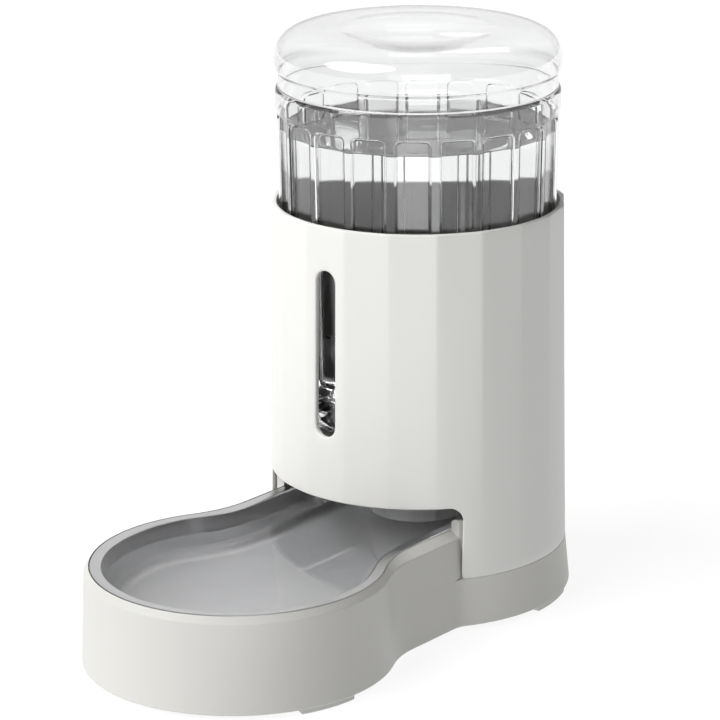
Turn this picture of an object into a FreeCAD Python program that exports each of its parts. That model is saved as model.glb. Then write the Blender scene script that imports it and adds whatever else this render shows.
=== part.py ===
import FreeCAD, Part
import os
from math import atan2, cos, pi, radians, sin, sqrt

# Gravity pet feeder. A clear bottle stands upside down in a faceted sleeve on a base,
# and the base runs forward into a round holder with a keyhole-shaped steel bowl.
# Millimetres, +Z up. The bowl points to -Y and X = 0 is the plane of symmetry.
# The origin is on the floor, at the centre of the whole object's footprint box.

Vec = FreeCAD.Vector
UP = Vec(0, 0, 1)

# ---- driving dimensions: plan ----
AXIS_GAP = 164.0          # tower axis to the centre of the round bowl lobe
LOBE_R_FLOOR = 89.25      # holder's outer radius where the wall ends, near the floor
COLLAR_R_FLOOR = 91.1     # tower collar's radius at the same height
TOWER_Y = (AXIS_GAP + LOBE_R_FLOOR - COLLAR_R_FLOOR) / 2
LOBE_Y = TOWER_Y - AXIS_GAP

# ---- driving dimensions: heights ----
FOOT_H = 3.0              # feet lift the shell this far off the floor
LEDGE_Z = 31.2            # collar's top, where the sleeve stands
EDGE_Z = 55.2             # lower edge of the sloping rim band
RIM_Z = 59.2              # top of the holder's rim, level with the bowl's flange
CUTOUT_TOP = 74.8         # top of the sleeve's bowl cut-out
CUTOUT_HALF, CUTOUT_CORNER = 72.2, 8.5
SLEEVE_TOP = 236.7
SLOT_LOW, SLOT_HIGH, SLOT_HALF = 112.5, 210.6, 6.75
TANK_TOP = 339.0

# ---- driving dimensions: walls and fits ----
SHELL_T = 2.5             # base wall
DECK_LOW = 54.6           # underside of the base's deck
BOWL_T = 0.9
TANK_T = 1.3
SLEEVE_T = 2.5
TOUCH_GAP = 0.05          # between flat faces that turn or slide on each other
FACETS = 20               # sleeve facets and tank flutes
FACET = 360.0 / FACETS

# keyhole outlines: (lobe radius, half width of the neck, radius of the hollow corner)
FLOOR_LINE = (LOBE_R_FLOOR, 73.2, 55.0)
EDGE_LINE = (86.95, 69.0, 68.0)
RECESS_LINE = (84.2, 62.8, 72.0)
FLANGE_LINE = (83.85, 62.4, 72.4)
WELL_LINE = (78.4, 56.4, 78.4)
MOUTH_LINE = (76.8, 54.9, 80.0)
HEEL_LINE = (73.2, 51.2, 83.6)
SOLE_LINE = (62.0, 40.0, 95.0)

# bowl heights
BOWL_HEEL_Z = 31.0
BOWL_FLOOR_Z = 20.0
BOSS_FOOT_R, BOSS_TOP_R, BOSS_TOP = 10.0, 5.0, 24.0
FLANGE_Z = 59.25

# sleeve radii, to the corners at the top and to the round foot
SLEEVE_R_TOP, SLEEVE_R_FOOT = 86.0, 88.4
SPIGOT_R = 84.6           # locating ring inside the sleeve
SPIGOT_T = 2.6
SPIGOT_TOP = 66.0
SPIGOT_END_Y = -49.5      # the ring is open in front of this plane, where the bowl passes
SPIGOT_END_IN = 80.2      # inner radius of the thick posts that end the ring
SPIGOT_END_L = 3.2
SPIGOT_END_ROUND = 2.5    # upper inner corner of each post
CORNER_BLEND = 16.0       # hollow corner between the neck's wall and the collar
RIM_ROUND = 0.9           # softened edge where the wall meets the sloping rim
BOTTOM_ROUND = 0.8        # softened lower edge of the shell

# neck, cap and valve
NECK_R, NECK_BORE = 26.0, 24.0
MOUTH_Z = 50.0            # the tank's lip
CAP_R, CAP_LOW, CAP_TOP = 29.3, 40.6, 74.0
CAP_BORE = 26.5
CAP_MOUTH_R = 20.0
CAP_FLOOR_TOP = 45.3
CAP_RIBS = 12
INSERT_LOW, SEAT_Z = 46.5, 48.4
VALVE_TRAVEL = 4.0
BRIDGE_LOW, BRIDGE_TOP = 70.0, 72.0
STEM_R, STEM_TOP = 2.0, 79.0
SEAL_T = 1.6
SEAL_LOW = SEAT_Z + VALVE_TRAVEL + TOUCH_GAP
PLATE_TOP = SEAL_LOW + SEAL_T + 1.4


def at_tower(shape):
    """The same shape moved from the origin's axis to the tower's axis."""
    moved = shape.copy()
    moved.translate(Vec(0, TOWER_Y, 0))
    return moved


def polar(radius, angle, z=0.0):
    """A point round the Z axis; angle 0 is in front (-Y) and 90 is to the right (+X)."""
    a = radians(angle)
    return Vec(radius * sin(a), -radius * cos(a), z)


def keyhole(line, z):
    """Closed wire: round lobe in front, hollow corners, straight neck, half round behind the tower axis."""
    lobe, neck, hollow = line
    corner_x = neck + hollow
    corner_y = LOBE_Y + sqrt((lobe + hollow) ** 2 - corner_x ** 2)
    share = lobe / (lobe + hollow)
    touch = Vec(corner_x * share, LOBE_Y + (corner_y - LOBE_Y) * share, z)
    # middle of the hollow corner's arc, seen from its centre
    turn = atan2(touch.y - corner_y, touch.x - corner_x)
    mid_turn = (turn - pi) / 2 if turn < 0 else (turn + pi) / 2
    mid = Vec(corner_x + hollow * cos(mid_turn), corner_y + hollow * sin(mid_turn), z)
    waist = Vec(neck, corner_y, z)
    back = Vec(neck, TOWER_Y, z)

    def left(p):
        return Vec(-p.x, p.y, p.z)

    edges = [
        Part.Arc(left(touch), Vec(0, LOBE_Y - lobe, z), touch).toShape(),
        Part.Arc(touch, mid, waist).toShape(),
        Part.LineSegment(waist, back).toShape(),
        Part.Arc(back, Vec(0, TOWER_Y + neck, z), left(back)).toShape(),
        Part.LineSegment(left(back), left(waist)).toShape(),
        Part.Arc(left(waist), left(mid), left(touch)).toShape(),
    ]
    return Part.Wire(edges)


def keyhole_solid(*levels):
    """Solid through keyhole outlines, given as (line, z) from the bottom up."""
    return Part.makeLoft([keyhole(line, z) for line, z in levels], True, True)


def inset(line, step):
    lobe, neck, hollow = line
    return (lobe - step, neck - step, hollow + step)


def between(low, high, share):
    """The outline a share of the way from one to another."""
    return tuple(a + (b - a) * share for a, b in zip(low, high))


def box(x0, x1, y0, y1, z0, z1):
    return Part.makeBox(x1 - x0, y1 - y0, z1 - z0, Vec(x0, y0, z0))


def tube(outer, inner, z0, z1):
    body = Part.makeCylinder(outer, z1 - z0, Vec(0, 0, z0))
    return body.cut(Part.makeCylinder(inner, z1 - z0 + 2, Vec(0, 0, z0 - 1)))


def revolve(points):
    """Solid turned round Z from a list of (radius, z) points and ('arc', mid, end) items."""
    edges = []
    here = Vec(points[0][0], 0, points[0][1])
    start = here
    for item in points[1:]:
        if item[0] == "arc":
            mid, end = (Vec(p[0], 0, p[1]) for p in item[1:])
            edges.append(Part.Arc(here, mid, end).toShape())
        else:
            end = Vec(item[0], 0, item[1])
            edges.append(Part.LineSegment(here, end).toShape())
        here = end
    if (here - start).Length > 1e-6:
        edges.append(Part.LineSegment(here, start).toShape())
    return Part.Face(Part.Wire(edges)).revolve(Vec(), UP, 360)


def sector(outer, inner, centre_angle, half_angle, z0, z1):
    """Part of a tube, between two angles either side of centre_angle."""
    a0, a1 = centre_angle - half_angle, centre_angle + half_angle
    wire = Part.Wire([
        Part.Arc(polar(outer, a0, z0), polar(outer, centre_angle, z0), polar(outer, a1, z0)).toShape(),
        Part.LineSegment(polar(outer, a1, z0), polar(inner, a1, z0)).toShape(),
        Part.Arc(polar(inner, a1, z0), polar(inner, centre_angle, z0), polar(inner, a0, z0)).toShape(),
        Part.LineSegment(polar(inner, a0, z0), polar(outer, a0, z0)).toShape(),
    ])
    return Part.Face(wire).extrude(Vec(0, 0, z1 - z0))


def turned(shape, angle):
    spun = shape.copy()
    spun.rotate(Vec(), UP, angle)
    return spun


def moved_y(shape, y):
    shifted = shape.copy()
    shifted.translate(Vec(0, y, 0))
    return shifted


# ---------------------------------------------------------------- feet
FOOT_HALF_ANGLE = 11.5
FOOT_OUT, FOOT_IN = 3.0, 9.5          # from the wall's outer line inwards
PEG_R, PEG_H = 2.4, 5.0
# name, centre of its arc along Y, wall radius there, angle from the front
FEET = [
    ("front", LOBE_Y, LOBE_R_FLOOR, 75.0),
    ("side", TOWER_Y, COLLAR_R_FLOOR, 101.5),
    ("rear", TOWER_Y, COLLAR_R_FLOOR, 158.0),
]


def foot_places():
    for name, y, wall, angle in FEET:
        yield name + "_right", y, wall, angle
        yield name + "_left", y, wall, -angle


def foot(y, wall, angle):
    """Curved pad under the wall, with two pegs that push into its seat."""
    out, inner = wall - 0.9, wall - FOOT_IN
    pad = sector(out, inner, angle, FOOT_HALF_ANGLE, 0, FOOT_H)
    rims = [e for e in pad.Edges if e.BoundBox.ZMax < 0.01]
    pad = pad.makeChamfer(0.6, rims)
    middle = wall - (FOOT_OUT + FOOT_IN) / 2
    for side in (-1, 1):
        spot = polar(middle, angle + side * FOOT_HALF_ANGLE * 0.6, FOOT_H - 0.5)
        pad = pad.fuse(Part.makeCylinder(PEG_R, PEG_H + 0.5, spot))
    return moved_y(pad.removeSplitter(), y)


def foot_seat(y, wall, angle):
    """Block inside the shell's lower edge that takes the foot's pegs."""
    seat = sector(wall - 1.6, wall - FOOT_IN, angle, FOOT_HALF_ANGLE + 0.8, FOOT_H, FOOT_H + 6.5)
    middle = wall - (FOOT_OUT + FOOT_IN) / 2
    for side in (-1, 1):
        spot = polar(middle, angle + side * FOOT_HALF_ANGLE * 0.6, FOOT_H - 1)
        seat = seat.cut(Part.makeCylinder(PEG_R, PEG_H + 1.2, spot))
    return moved_y(seat, y)


# ---------------------------------------------------------------- base
CRADLE_RING_IN, CRADLE_RING_OUT = 66.0, 69.5
CRADLE_FLANGE_R = 79.8
CRADLE_FOOT_Z = 57.4
CRADLE_GAP_X = 63.5       # the stand is open in front, over the bowl
SCREW_R, SCREW_RING = 1.7, 75.5
SCREW_ANGLES = (-150.0, -100.0, 100.0, 150.0)
RIB_T = 1.8


def spigot():
    """Locating ring for the sleeve, open in front, with a round-shouldered post at each end."""
    low = Part.makeCylinder(SPIGOT_R, EDGE_Z - LEDGE_Z, Vec(0, 0, LEDGE_Z))
    behind = SPIGOT_END_Y + SPIGOT_END_L
    ring = tube(SPIGOT_R, SPIGOT_R - SPIGOT_T, EDGE_Z - 1, SPIGOT_TOP)
    ring = ring.cut(box(-SLEEVE_R_FOOT, SLEEVE_R_FOOT, -SLEEVE_R_FOOT, behind, 0, SLEEVE_TOP))
    thick = tube(SPIGOT_R, SPIGOT_END_IN, EDGE_Z - 1, SPIGOT_TOP)
    thick = thick.common(box(-SLEEVE_R_FOOT, SLEEVE_R_FOOT, SPIGOT_END_Y, behind, 0, SLEEVE_TOP))
    posts = [post.makeFillet(SPIGOT_END_ROUND, inner_top_edges(post)) for post in thick.Solids]
    return low.fuse([ring] + posts)


def inner_top_edges(post):
    """The upper edge of a post's face towards the tower axis."""
    tops = [e for e in post.Edges if e.BoundBox.ZMin > SPIGOT_TOP - 0.01]
    return [min(tops, key=lambda e: abs(e.BoundBox.Center.x))]


def inner_corners(body):
    """The upright edges where the neck's wall runs into the collar."""
    return [e for e in body.Edges if e.BoundBox.ZLength > 20 and abs(e.BoundBox.Center.x) > 60
            and e.BoundBox.YMin > TOWER_Y - 70]


def level_edges(body, z):
    """The edges that lie flat at a height."""
    return [e for e in body.Edges if abs(e.BoundBox.ZMin - z) < 0.01 and abs(e.BoundBox.ZMax - z) < 0.01]


def base_shell():
    """Bowl holder, tower collar, deck and locating ring in one open-bottomed moulding."""
    holder = keyhole_solid((FLOOR_LINE, FOOT_H), (EDGE_LINE, EDGE_Z))
    holder = holder.fuse(keyhole_solid((EDGE_LINE, EDGE_Z), (RECESS_LINE, RIM_Z)))
    holder = holder.makeFillet(RIM_ROUND, level_edges(holder, EDGE_Z))
    collar = at_tower(Part.makeCone(COLLAR_R_FLOOR, SLEEVE_R_FOOT, LEDGE_Z - FOOT_H, Vec(0, 0, FOOT_H)))
    body = holder.fuse(collar).removeSplitter()
    body = body.makeFillet(CORNER_BLEND, inner_corners(body))
    body = body.makeFillet(BOTTOM_ROUND, level_edges(body, FOOT_H))
    body = body.fuse(at_tower(spigot()))
    # the sloping band stops at the sleeve, so the deck inside the tower is flat
    inside = at_tower(Part.makeCylinder(SPIGOT_END_IN, 10, Vec(0, 0, CRADLE_FOOT_Z)))
    body = body.cut(inside.cut(box(-200, 200, -200, TOWER_Y + SPIGOT_END_Y - 2, 0, 100)))

    deck_line = inset(between(FLOOR_LINE, EDGE_LINE, (DECK_LOW - FOOT_H) / (EDGE_Z - FOOT_H)), SHELL_T)
    hollow = keyhole_solid((inset(FLOOR_LINE, SHELL_T), FOOT_H - 0.01), (deck_line, DECK_LOW))
    collar_hollow = Part.makeCone(COLLAR_R_FLOOR - SHELL_T, SLEEVE_R_FOOT - SHELL_T,
                                  LEDGE_Z - SHELL_T - FOOT_H + 0.01, Vec(0, 0, FOOT_H - 0.01))
    drum_hollow = Part.makeCylinder(SPIGOT_R - SPIGOT_T, DECK_LOW - FOOT_H, Vec(0, 0, FOOT_H))
    body = body.cut([hollow, at_tower(collar_hollow), at_tower(drum_hollow)])

    body = body.cut(keyhole_solid((RECESS_LINE, RIM_Z - 1.4), (RECESS_LINE, RIM_Z + 20)))
    body = body.cut(keyhole_solid((WELL_LINE, DECK_LOW - 5), (WELL_LINE, RIM_Z + 5)))

    seats = [foot_seat(y, wall, angle) for _, y, wall, angle in foot_places()]
    body = body.fuse(seats + deck_ribs())
    for angle in SCREW_ANGLES:
        spot = polar(SCREW_RING, angle, DECK_LOW - 8)
        post = Part.makeCylinder(3.6, 8.2, spot)
        hole = Part.makeCylinder(SCREW_R, 30, spot - Vec(0, 0, 1))
        body = body.fuse(at_tower(post)).cut(at_tower(hole))
    return body.removeSplitter()


def deck_ribs():
    """Stiffening webs under the deck, between the bowl's well and the outer wall."""
    ribs = []
    for step in range(-3, 4):
        spot = box(-RIB_T / 2, RIB_T / 2, -LOBE_R_FLOOR + 4.6, -WELL_LINE[0] - 1.6, 30, DECK_LOW + 0.2)
        ribs.append(moved_y(turned(spot, step * 34.0), LOBE_Y))
    for angle in (-165, -125, -80, 80, 125, 165):
        spot = box(-RIB_T / 2, RIB_T / 2, -SPIGOT_R + 0.8, -58.5, 34, DECK_LOW + 0.2)
        ribs.append(at_tower(turned(spot, angle)))
    return ribs


# ---------------------------------------------------------------- tank cradle
# the tank's shoulder: a cone between two radii
SHOULDER_IN, SHOULDER_OUT = (30.0, 86.0), (71.0, 109.5)


def shoulder_z(radius):
    (r0, z0), (r1, z1) = SHOULDER_IN, SHOULDER_OUT
    return z0 + (radius - r0) * (z1 - z0) / (r1 - r0)


def tank_cradle():
    """C-shaped stand: flange on the deck, wall, gussets, and a sloping top edge under the tank's shoulder."""
    play = 0.35
    top_in, top_out = shoulder_z(CRADLE_RING_IN) - play, shoulder_z(CRADLE_RING_OUT) - play
    ring = revolve([(CRADLE_RING_IN, CRADLE_FOOT_Z), (CRADLE_RING_OUT, CRADLE_FOOT_Z),
                    (CRADLE_RING_OUT, top_out), (CRADLE_RING_IN, top_in)])
    flange = tube(CRADLE_FLANGE_R, CRADLE_RING_IN, CRADLE_FOOT_Z, CRADLE_FOOT_Z + 3)
    stand = ring.fuse(flange)
    for angle in range(80, 281, 25):
        web = Part.Face(Part.makePolygon([
            Vec(CRADLE_RING_OUT - 0.5, 0, CRADLE_FOOT_Z + 2), Vec(CRADLE_FLANGE_R, 0, CRADLE_FOOT_Z + 2),
            Vec(CRADLE_FLANGE_R, 0, CRADLE_FOOT_Z + 8), Vec(CRADLE_RING_OUT - 0.5, 0, top_out - 12),
            Vec(CRADLE_RING_OUT - 0.5, 0, CRADLE_FOOT_Z + 2)])).extrude(Vec(0, 2.2, 0))
        web.translate(Vec(0, -1.1, 0))
        stand = stand.fuse(turned(web, angle - 90))
    stand = stand.cut(box(-CRADLE_GAP_X, CRADLE_GAP_X, -100, 0, 50, 120))
    for angle in SCREW_ANGLES:
        stand = stand.cut(Part.makeCylinder(SCREW_R + 0.25, 10, polar(SCREW_RING, angle, CRADLE_FOOT_Z - 2)))
    return at_tower(stand.removeSplitter())


def cradle_screws():
    """Four self-tapping screws with domed heads and cross recesses."""
    screws = []
    for angle in SCREW_ANGLES:
        low = CRADLE_FOOT_Z + 3
        shank = Part.makeCylinder(SCREW_R - 0.02, 13.0, Vec(0, 0, low - 12.5))
        head = Part.makeCylinder(3.2, 2.0, Vec(0, 0, low))
        head = head.makeFillet(0.9, [e for e in head.Edges if e.BoundBox.ZMin > low + 1.9])
        for side in (0, 90):
            slot = box(-1.9, 1.9, -0.4, 0.4, low + 0.9, low + 3)
            head = head.cut(turned(slot, side))
        screw = head.fuse(shank)
        screw.translate(polar(SCREW_RING, angle))
        screws.append(at_tower(screw.removeSplitter()))
    return Part.makeCompound(screws)


# ---------------------------------------------------------------- bowl
RIDGE_Y0, RIDGE_Y1, RIDGE_W, RIDGE_H = -29.0, 20.0, 7.0, 1.6


def bowl():
    """Pressed bowl: flat flange, near-upright wall, sloping heel, floor, ridge and a boss under the valve."""
    outer = keyhole_solid((inset(SOLE_LINE, -BOWL_T), BOWL_FLOOR_Z - BOWL_T),
                          (inset(HEEL_LINE, -BOWL_T), BOWL_HEEL_Z - BOWL_T / 2),
                          (inset(MOUTH_LINE, -BOWL_T), FLANGE_Z - BOWL_T))
    flange = keyhole_solid((FLANGE_LINE, FLANGE_Z - BOWL_T), (FLANGE_LINE, FLANGE_Z))
    inner = keyhole_solid((SOLE_LINE, BOWL_FLOOR_Z), (HEEL_LINE, BOWL_HEEL_Z), (MOUTH_LINE, FLANGE_Z))
    body = outer.fuse(flange).cut(inner)
    boss_low = BOWL_FLOOR_Z - 0.1
    boss = Part.makeCone(BOSS_FOOT_R, BOSS_TOP_R, BOSS_TOP - boss_low, Vec(0, TOWER_Y, boss_low))
    ridge = box(-RIDGE_W / 2, RIDGE_W / 2, RIDGE_Y0, RIDGE_Y1, BOWL_FLOOR_Z - 0.1, BOWL_FLOOR_Z + RIDGE_H)
    corners = [e for e in ridge.Edges if e.BoundBox.ZLength > 1]
    ridge = ridge.makeFillet(RIDGE_W / 2 - 0.05, corners)
    return body.fuse([boss, ridge]).removeSplitter()


# ---------------------------------------------------------------- sleeve
def sleeve_ring(radius_corner, z, faceted):
    """Closed wire of one edge per facet: straight at the top, arcs of the same circle at the foot."""
    edges = []
    for k in range(FACETS):
        a0 = (k - 0.5) * FACET
        p, q = polar(radius_corner, a0, z), polar(radius_corner, a0 + FACET, z)
        if faceted:
            edges.append(Part.LineSegment(p, q).toShape())
        else:
            edges.append(Part.Arc(p, polar(radius_corner, a0 + FACET / 2, z), q).toShape())
    return Part.Wire(edges)


def tower_housing():
    """Faceted sleeve with the sight slot, the bowl cut-out and locating ribs inside."""
    outer = Part.makeLoft([sleeve_ring(SLEEVE_R_FOOT, LEDGE_Z, False),
                           sleeve_ring(SLEEVE_R_TOP, SLEEVE_TOP, True)], True, True)
    flat = SLEEVE_R_TOP * cos(radians(FACET / 2))
    height = SLEEVE_TOP - LEDGE_Z
    inner = Part.makeCone(SLEEVE_R_FOOT - SLEEVE_T, flat - SLEEVE_T, height, Vec(0, 0, LEDGE_Z))
    body = outer.cut(inner)
    rib_face = SPIGOT_R + 0.2
    for angle in range(75, 286, 42):
        rib = box(-1, 1, -SLEEVE_R_FOOT + 1.2, -rib_face, LEDGE_Z, SPIGOT_TOP - 3)
        body = body.fuse(turned(rib, angle))
    hole = box(-CUTOUT_HALF, CUTOUT_HALF, -120, 0, LEDGE_Z - 5, CUTOUT_TOP)
    tops = [e for e in hole.Edges if e.BoundBox.YLength > 100 and e.BoundBox.ZMin > CUTOUT_TOP - 1]
    hole = hole.makeFillet(CUTOUT_CORNER, tops)
    body = body.cut(hole)
    slot = box(-SLOT_HALF, SLOT_HALF, -120, -60, SLOT_LOW, SLOT_HIGH)
    ends = [e for e in slot.Edges if e.BoundBox.YLength > 50]
    slot = slot.makeFillet(SLOT_HALF - 0.01, ends)
    return at_tower(body.cut(slot).removeSplitter())


# ---------------------------------------------------------------- tank
BODY_LOW, BODY_HIGH = 121.0, 290.5
FLUTE_LOW, FLUTE_HIGH = 139.0, 290.0
FLUTE_DEEP = 1.6
DISH_R, DISH_DEEP = 42.0, 6.2


def body_r(z):
    """Radius of the tank's ribs: a slight draft, wider upwards."""
    return 79.3 + (z - BODY_LOW) * (82.2 - 79.3) / (BODY_HIGH - BODY_LOW)


def dish_z(radius):
    """Height of the dome's dish, part of a sphere."""
    ball = (DISH_R ** 2 + DISH_DEEP ** 2) / (2 * DISH_DEEP)
    return TANK_TOP - 2.6 - DISH_DEEP + ball - sqrt(ball ** 2 - radius ** 2)


def tank_profile(t):
    """Half section of the tank, set in by t from the outer skin."""
    neck_r = NECK_R - (NECK_R - NECK_BORE) * (1 if t else 0)
    mouth = MOUTH_Z - (1 if t else 0)
    (r0, z0), (r1, z1) = SHOULDER_IN, SHOULDER_OUT
    return [
        (0, mouth), (neck_r, mouth), (neck_r, 82.0 + t * 0.3),
        ("arc", (neck_r + 1.3, z0 - 1.6 + t), (r0, z0 + t)),
        (r1 - t * 0.4, z1 + t),
        ("arc", (77.4 - t, 113.6 + t * 0.4), (body_r(BODY_LOW) - t, BODY_LOW)),
        (body_r(BODY_HIGH) - t, BODY_HIGH),
        (82.8 - t, 292.0), (82.8 - t, 301.0),
        ("arc", (82.2 - t, 303.2), (81.0 - t, 304.8)),
        (81.0 - t, 312.6),
        ("arc", (81.8 - t, 314.8), (82.9 - t, 316.6)),
        (83.2 - t, 321.0),
        ("arc", (79.0 - t * 0.75, 332.8 - t * 0.65), (62.0, TANK_TOP - t)),
        ("arc", (52.0, TANK_TOP - 0.5 - t), (DISH_R, dish_z(DISH_R) - t)),
        ("arc", (DISH_R / 2, dish_z(DISH_R / 2) - t), (0, dish_z(0) - t)),
    ]


def flute_cutter(angle, grow):
    """Sunk panel between two ribs, with sloping sides; grow makes it bigger by the wall."""
    def frame(depth, half, z0, z1):
        low, high = body_r(z0) * cos(radians(FACET / 2)) - depth, body_r(z1) * cos(radians(FACET / 2)) - depth
        return Part.makePolygon([Vec(-half, -low, z0), Vec(half, -low, z0),
                                 Vec(half, -high, z1), Vec(-half, -high, z1), Vec(-half, -low, z0)])
    inner = frame(FLUTE_DEEP + grow, 8.6 + grow, FLUTE_LOW + 3 - grow, FLUTE_HIGH - 3 + grow)
    outer = frame(-2.5, 11.5 + grow, FLUTE_LOW - 2 - grow, FLUTE_HIGH + 1.5 + grow)
    return turned(Part.makeLoft([inner, outer], True, True), angle)


def tank():
    """Clear bottle, mouth down: neck, cone shoulder, fluted body, ring groove and dished dome."""
    outer, inner = revolve(tank_profile(0)), revolve(tank_profile(TANK_T))
    bead = tube(NECK_R + 3.4, NECK_R - 1, 76.0, 78.5)
    cutters = [flute_cutter(k * FACET, 0) for k in range(FACETS)]
    blocks = [flute_cutter(k * FACET, TANK_T) for k in range(FACETS)]
    body = outer.cut(cutters).fuse(bead).cut(inner.cut(blocks))
    return at_tower(body.removeSplitter())


# ---------------------------------------------------------------- cap and valve
def tank_cap():
    """Screw cap with grip ribs, open in the middle."""
    shell = revolve([(CAP_MOUTH_R, CAP_LOW + 1), (CAP_MOUTH_R + 1, CAP_LOW), (CAP_R - 2, CAP_LOW),
                     ("arc", (CAP_R - 0.6, CAP_LOW + 0.6), (CAP_R, CAP_LOW + 2)),
                     (CAP_R, CAP_TOP - 0.6), (CAP_R - 0.6, CAP_TOP), (CAP_BORE, CAP_TOP),
                     (CAP_BORE, CAP_FLOOR_TOP), (CAP_MOUTH_R, CAP_FLOOR_TOP)])
    for k in range(CAP_RIBS):
        rib = box(-0.8, 0.8, -CAP_R - 0.9, -CAP_R + 0.5, CAP_LOW + 3, CAP_TOP - 1.5)
        shell = shell.fuse(turned(rib, k * 360.0 / CAP_RIBS))
    return at_tower(shell.removeSplitter())


def valve_insert():
    """Plug in the tank's mouth: flange, valve seat, spoked lower guide, and a three-post cage above."""
    plate = tube(25.6, 8.0, INSERT_LOW, SEAT_Z)
    plate = plate.fuse(tube(4.2, STEM_R + 0.08, INSERT_LOW, SEAT_Z))
    for angle in (0, 120, 240):
        spoke = box(-0.9, 0.9, -8.5, -3.5, INSERT_LOW, SEAT_Z)
        post = box(-2.2, 2.2, -16.0, -13.2, SEAT_Z - 0.2, BRIDGE_TOP)
        arm = box(-2.2, 2.2, -14.5, -3.5, BRIDGE_LOW, BRIDGE_TOP)
        plate = plate.fuse([turned(s, angle) for s in (spoke, post, arm)])
    plate = plate.fuse(tube(7.5, STEM_R + 0.08, BRIDGE_LOW, BRIDGE_TOP))
    # the ring that centres the plug in the neck's bore
    plate = plate.fuse(tube(NECK_BORE - 0.3, NECK_BORE - 2.0, SEAT_Z - 0.2, SEAT_Z + 5))
    return at_tower(plate.removeSplitter())


CLIP_Z = BRIDGE_TOP + VALVE_TRAVEL + 0.5
FOOT_TOP = BOSS_TOP + 6.0


def valve_stem():
    """Rod with the plate that presses the seal down, and a groove for the clip."""
    rod = Part.makeCylinder(STEM_R, STEM_TOP - BOSS_TOP - 2, Vec(0, 0, BOSS_TOP + 2))
    rod = rod.makeChamfer(0.4, [e for e in rod.Edges if e.BoundBox.ZMin > STEM_TOP - 1])
    rod = rod.cut(tube(STEM_R + 1, STEM_R - 0.5, CLIP_Z, CLIP_Z + 0.8))
    return at_tower(rod.fuse(Part.makeCylinder(10.5, 1.4, Vec(0, 0, SEAL_LOW + SEAL_T))).removeSplitter())


def valve_spring():
    """Compression spring between the cage's bridge and the stem's plate."""
    wire_r, coil_r, turns = 0.45, 4.4, 6
    low, high = PLATE_TOP + wire_r + 0.05, BRIDGE_LOW - wire_r - 0.05
    helix = Part.makeHelix((high - low) / turns, high - low, coil_r)
    helix.translate(Vec(0, 0, low))
    section = Part.Wire(Part.makeCircle(wire_r, Vec(coil_r, 0, low), Vec(0, 1, 0)))
    return at_tower(Part.Wire(helix.Edges).makePipeShell([section], True, True))


def stem_foot():
    """Rounded foot on the stem's end, which stands on the bowl's boss."""
    foot_low = BOSS_TOP + 0.3
    return at_tower(revolve([(0, foot_low), (2.8, foot_low),
                             ("arc", (4.0, foot_low + 0.6), (4.6, foot_low + 2)),
                             (4.6, FOOT_TOP - 0.6), (4.0, FOOT_TOP), (STEM_R, FOOT_TOP),
                             (STEM_R, BOSS_TOP + 2), (0, BOSS_TOP + 2)]))


def parts():
    named = {
        "base_shell": base_shell(),
        "tank_cradle": tank_cradle(),
        "cradle_screws": cradle_screws(),
        "bowl": bowl(),
        "tower_housing": tower_housing(),
        "tank": tank(),
        "tank_cap": tank_cap(),
        "cap_washer": at_tower(tube(26.0, 21.5, CAP_FLOOR_TOP + TOUCH_GAP, INSERT_LOW)),
        "neck_gasket": at_tower(tube(26.0, NECK_BORE, SEAT_Z, MOUTH_Z - TOUCH_GAP)),
        "valve_insert": valve_insert(),
        "valve_stem": valve_stem(),
        "valve_seal": at_tower(tube(11.0, STEM_R, SEAL_LOW, SEAL_LOW + SEAL_T)),
        "valve_spring": valve_spring(),
        "stem_clip": at_tower(tube(4.2, STEM_R - 0.5, CLIP_Z, CLIP_Z + 0.8)),
        "stem_foot": stem_foot(),
    }
    for name, y, wall, angle in foot_places():
        named["foot_" + name] = foot(y, wall, angle)
    return named


os.makedirs("parts", exist_ok=True)
# prints each node's name, number of solids, whether it is valid, and its volume in cubic millimetres
for node, shape in parts().items():
    shape.exportStep(os.path.join("parts", node + ".step"))
    print(node, len(shape.Solids), shape.isValid(), round(shape.Volume))
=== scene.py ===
from math import asin, atan2, cos, degrees, hypot, pi, radians, sin, sqrt

import bmesh
import bpy
from mathutils import Matrix, Vector
from mathutils.geometry import delaunay_2d_cdt


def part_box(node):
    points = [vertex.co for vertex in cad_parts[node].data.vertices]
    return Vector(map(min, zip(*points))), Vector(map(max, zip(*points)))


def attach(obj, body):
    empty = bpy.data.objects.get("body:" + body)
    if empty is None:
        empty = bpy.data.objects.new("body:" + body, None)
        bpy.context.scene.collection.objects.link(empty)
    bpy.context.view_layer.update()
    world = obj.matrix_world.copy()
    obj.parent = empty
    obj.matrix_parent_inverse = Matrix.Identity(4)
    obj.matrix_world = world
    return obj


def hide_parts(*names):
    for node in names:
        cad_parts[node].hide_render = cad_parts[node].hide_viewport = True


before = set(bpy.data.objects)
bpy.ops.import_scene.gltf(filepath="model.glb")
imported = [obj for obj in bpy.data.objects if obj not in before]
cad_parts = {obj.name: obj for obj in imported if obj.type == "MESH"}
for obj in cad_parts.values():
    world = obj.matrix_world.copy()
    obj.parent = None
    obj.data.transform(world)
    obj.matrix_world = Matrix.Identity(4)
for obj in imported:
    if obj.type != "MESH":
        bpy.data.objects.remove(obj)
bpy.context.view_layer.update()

# Lengths below are in millimetres in the frame's own axes, and become metres when a mesh is made.
MM = 0.001


def cad_box(node):
    low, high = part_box(node)
    return low / MM, high / MM


# ---------------------------------------------------------------- places taken from the frame
sleeve_low, sleeve_high = cad_box("tower_housing")
tank_low, tank_high = cad_box("tank")
FLANGE_Z = cad_box("bowl")[1].z

TOWER_Y = (tank_low.y + tank_high.y) / 2
# from the tower's axis to the middle of the bowl's round lobe
AXIS_GAP = 164.0
LOBE_Y = TOWER_Y - AXIS_GAP
# the sleeve and the bottle share the facets; angles round the tower are in degrees, 0 in front
FACETS = 20
FACET = 360.0 / FACETS


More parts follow.
